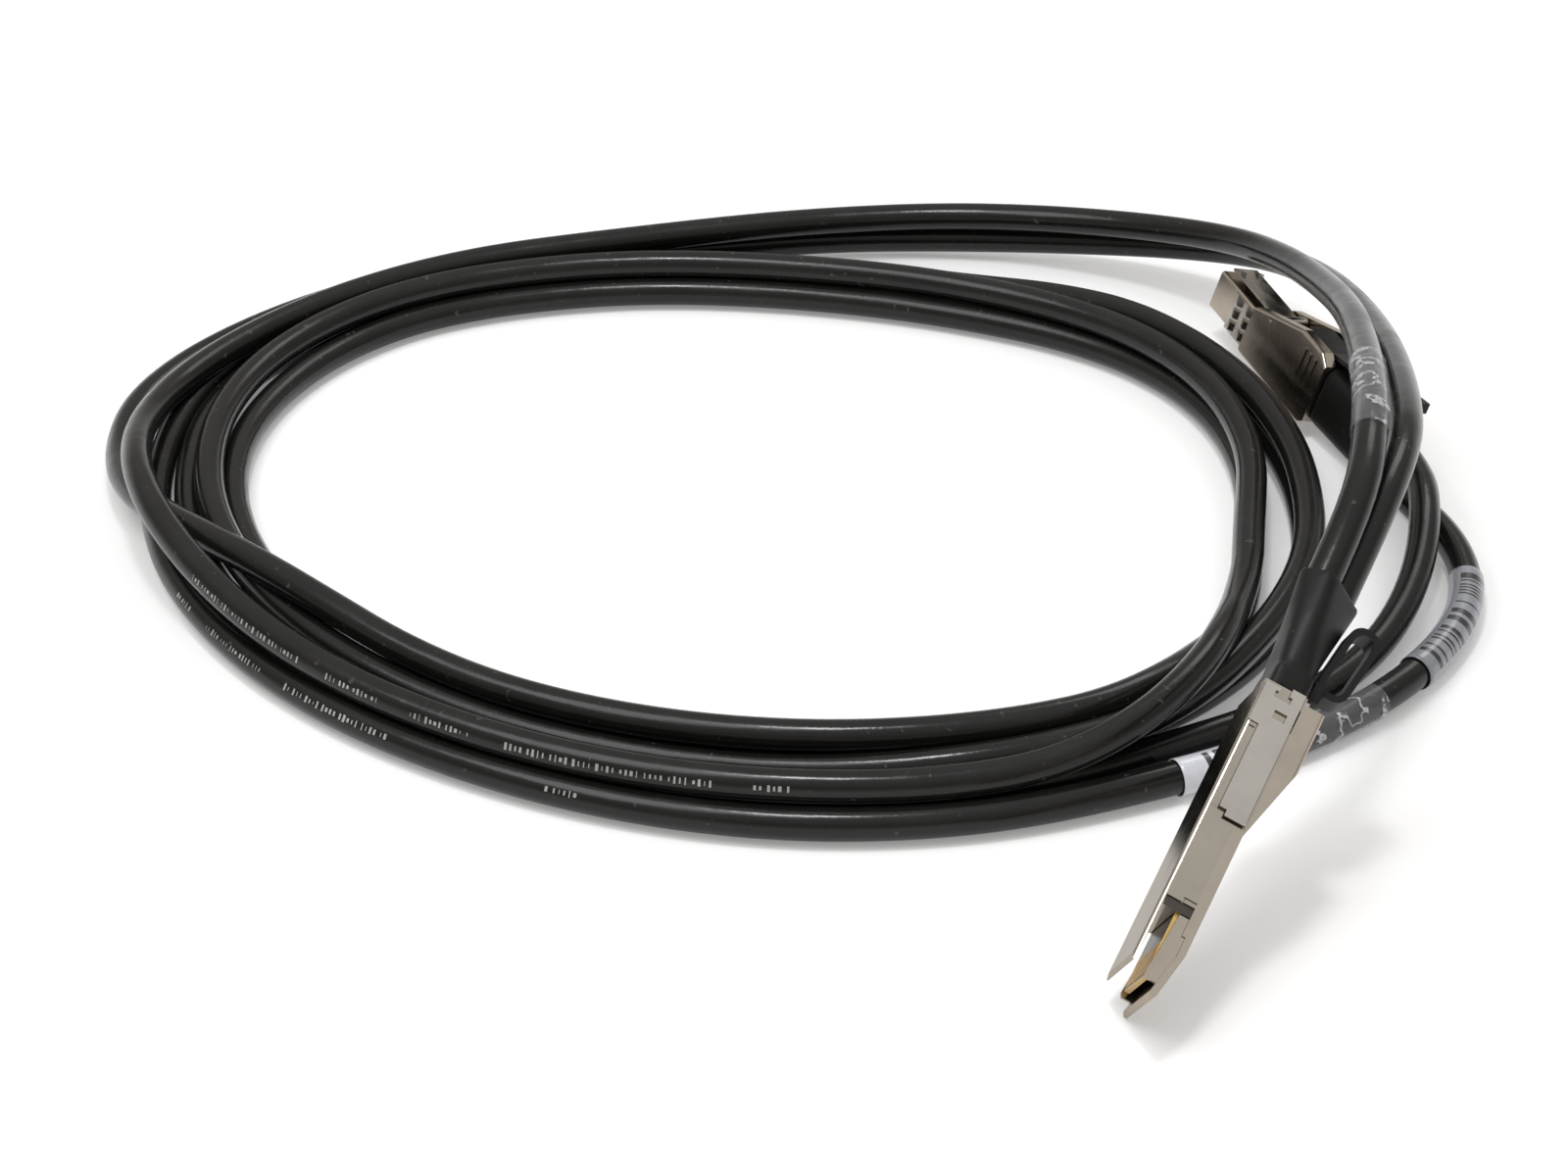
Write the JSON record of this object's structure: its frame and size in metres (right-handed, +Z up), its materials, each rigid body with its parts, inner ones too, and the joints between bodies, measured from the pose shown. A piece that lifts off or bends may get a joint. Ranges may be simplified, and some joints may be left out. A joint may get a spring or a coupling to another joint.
{
  "type": "mini sas to qsfp cable",
  "caption": "Coiled storage cable: round jacketed cords join a flat metal QSFP plug with a pull loop to a wedge-shaped mini SAS HD plug with a latch.",
  "frame": {"origin": "on the table, under the middle of the box that holds the two plugs", "axes": "+Z up from the table, +Y from the QSFP plug towards the mini SAS plug (away from the camera), +X to the right"},
  "size_m": [0.2967, 0.3151, 0.07],
  "materials": {
    "bright_shell": "bright nickel plating on die-cast metal",
    "satin_shell": "satin nickel plating on die-cast metal",
    "steel": "formed stainless sheet and pins",
    "card": "solder-masked circuit card",
    "gold": "gold-plated contact pads",
    "wire": "foil-wrapped wire pairs",
    "ferrule": "crimped ferrules",
    "black_moulding": "black moulded plastic",
    "jacket": "semi-gloss dark vinyl jacket",
    "label": "white wrapped label",
    "clear_film": "clear wrapped tape"
  },
  "bodies": {
    "cable_and_plugs": {"qsfp_cover_shell": "bright_shell", "qsfp_base_shell": "satin_shell", "qsfp_screws": "steel", "qsfp_paddle_card": "card", "qsfp_contact_pads": "gold", "qsfp_wire_pairs": "wire", "qsfp_ferrules": "ferrule", "qsfp_return_springs": "steel", "qsfp_boot": "black_moulding", "sas_nose_shroud": "satin_shell", "sas_emi_gasket": "steel", "sas_bottom_shell": "satin_shell", "sas_top_shell": "satin_shell", "sas_latch_pin": "steel", "sas_paddle_cards": "card", "sas_card_carrier": "black_moulding", "sas_contact_pads": "gold", "sas_wire_pairs": "wire", "sas_ferrules": "ferrule", "sas_boot": "black_moulding", "cable_coil": "jacket", "qsfp_cable_a": "jacket", "qsfp_cable_b": "jacket", "sas_cable_a": "jacket", "sas_cable_b": "jacket", "barcode_label": "label", "label_tape": "clear_film", "front_label": "label", "clear_tape": "clear_film"},
    "qsfp_latch_slide": {"qsfp_release_slide": "steel", "qsfp_pull_loop": "black_moulding"},
    "sas_latch_plate": {"sas_latch": "steel"},
    "sas_pull_strap": {"sas_pull_tab": "black_moulding"}
  },
  "joints": [
    {"name": "qsfp_release", "type": "slide", "parent": "cable_and_plugs", "child": "qsfp_latch_slide", "axis": [0.4531, 0.7481, 0.4848], "range_m": [0, 0.0025], "stiffness_N_per_m": 1500, "springref_m": -0.001, "deforming": ["qsfp_return_springs"]},
    {"name": "sas_pull", "type": "slide", "parent": "cable_and_plugs", "child": "sas_pull_strap", "axis": [0.3309, -0.9396, -0.0872], "range_m": [0, 0.002], "stiffness_N_per_m": 1500, "springref_m": -0.001},
    {"name": "sas_latch_turn", "type": "hinge", "parent": "cable_and_plugs", "child": "sas_latch_plate", "pos_m": [0.01939, 0.10842, 0.01631], "axis": [0.9007, 0.342, -0.2679], "range_deg": [-2.2, 0]}
  ],
  "couplings": [
    {"joint": "sas_latch_turn", "follows": "sas_pull", "rad_per_m": -19}
  ]
}
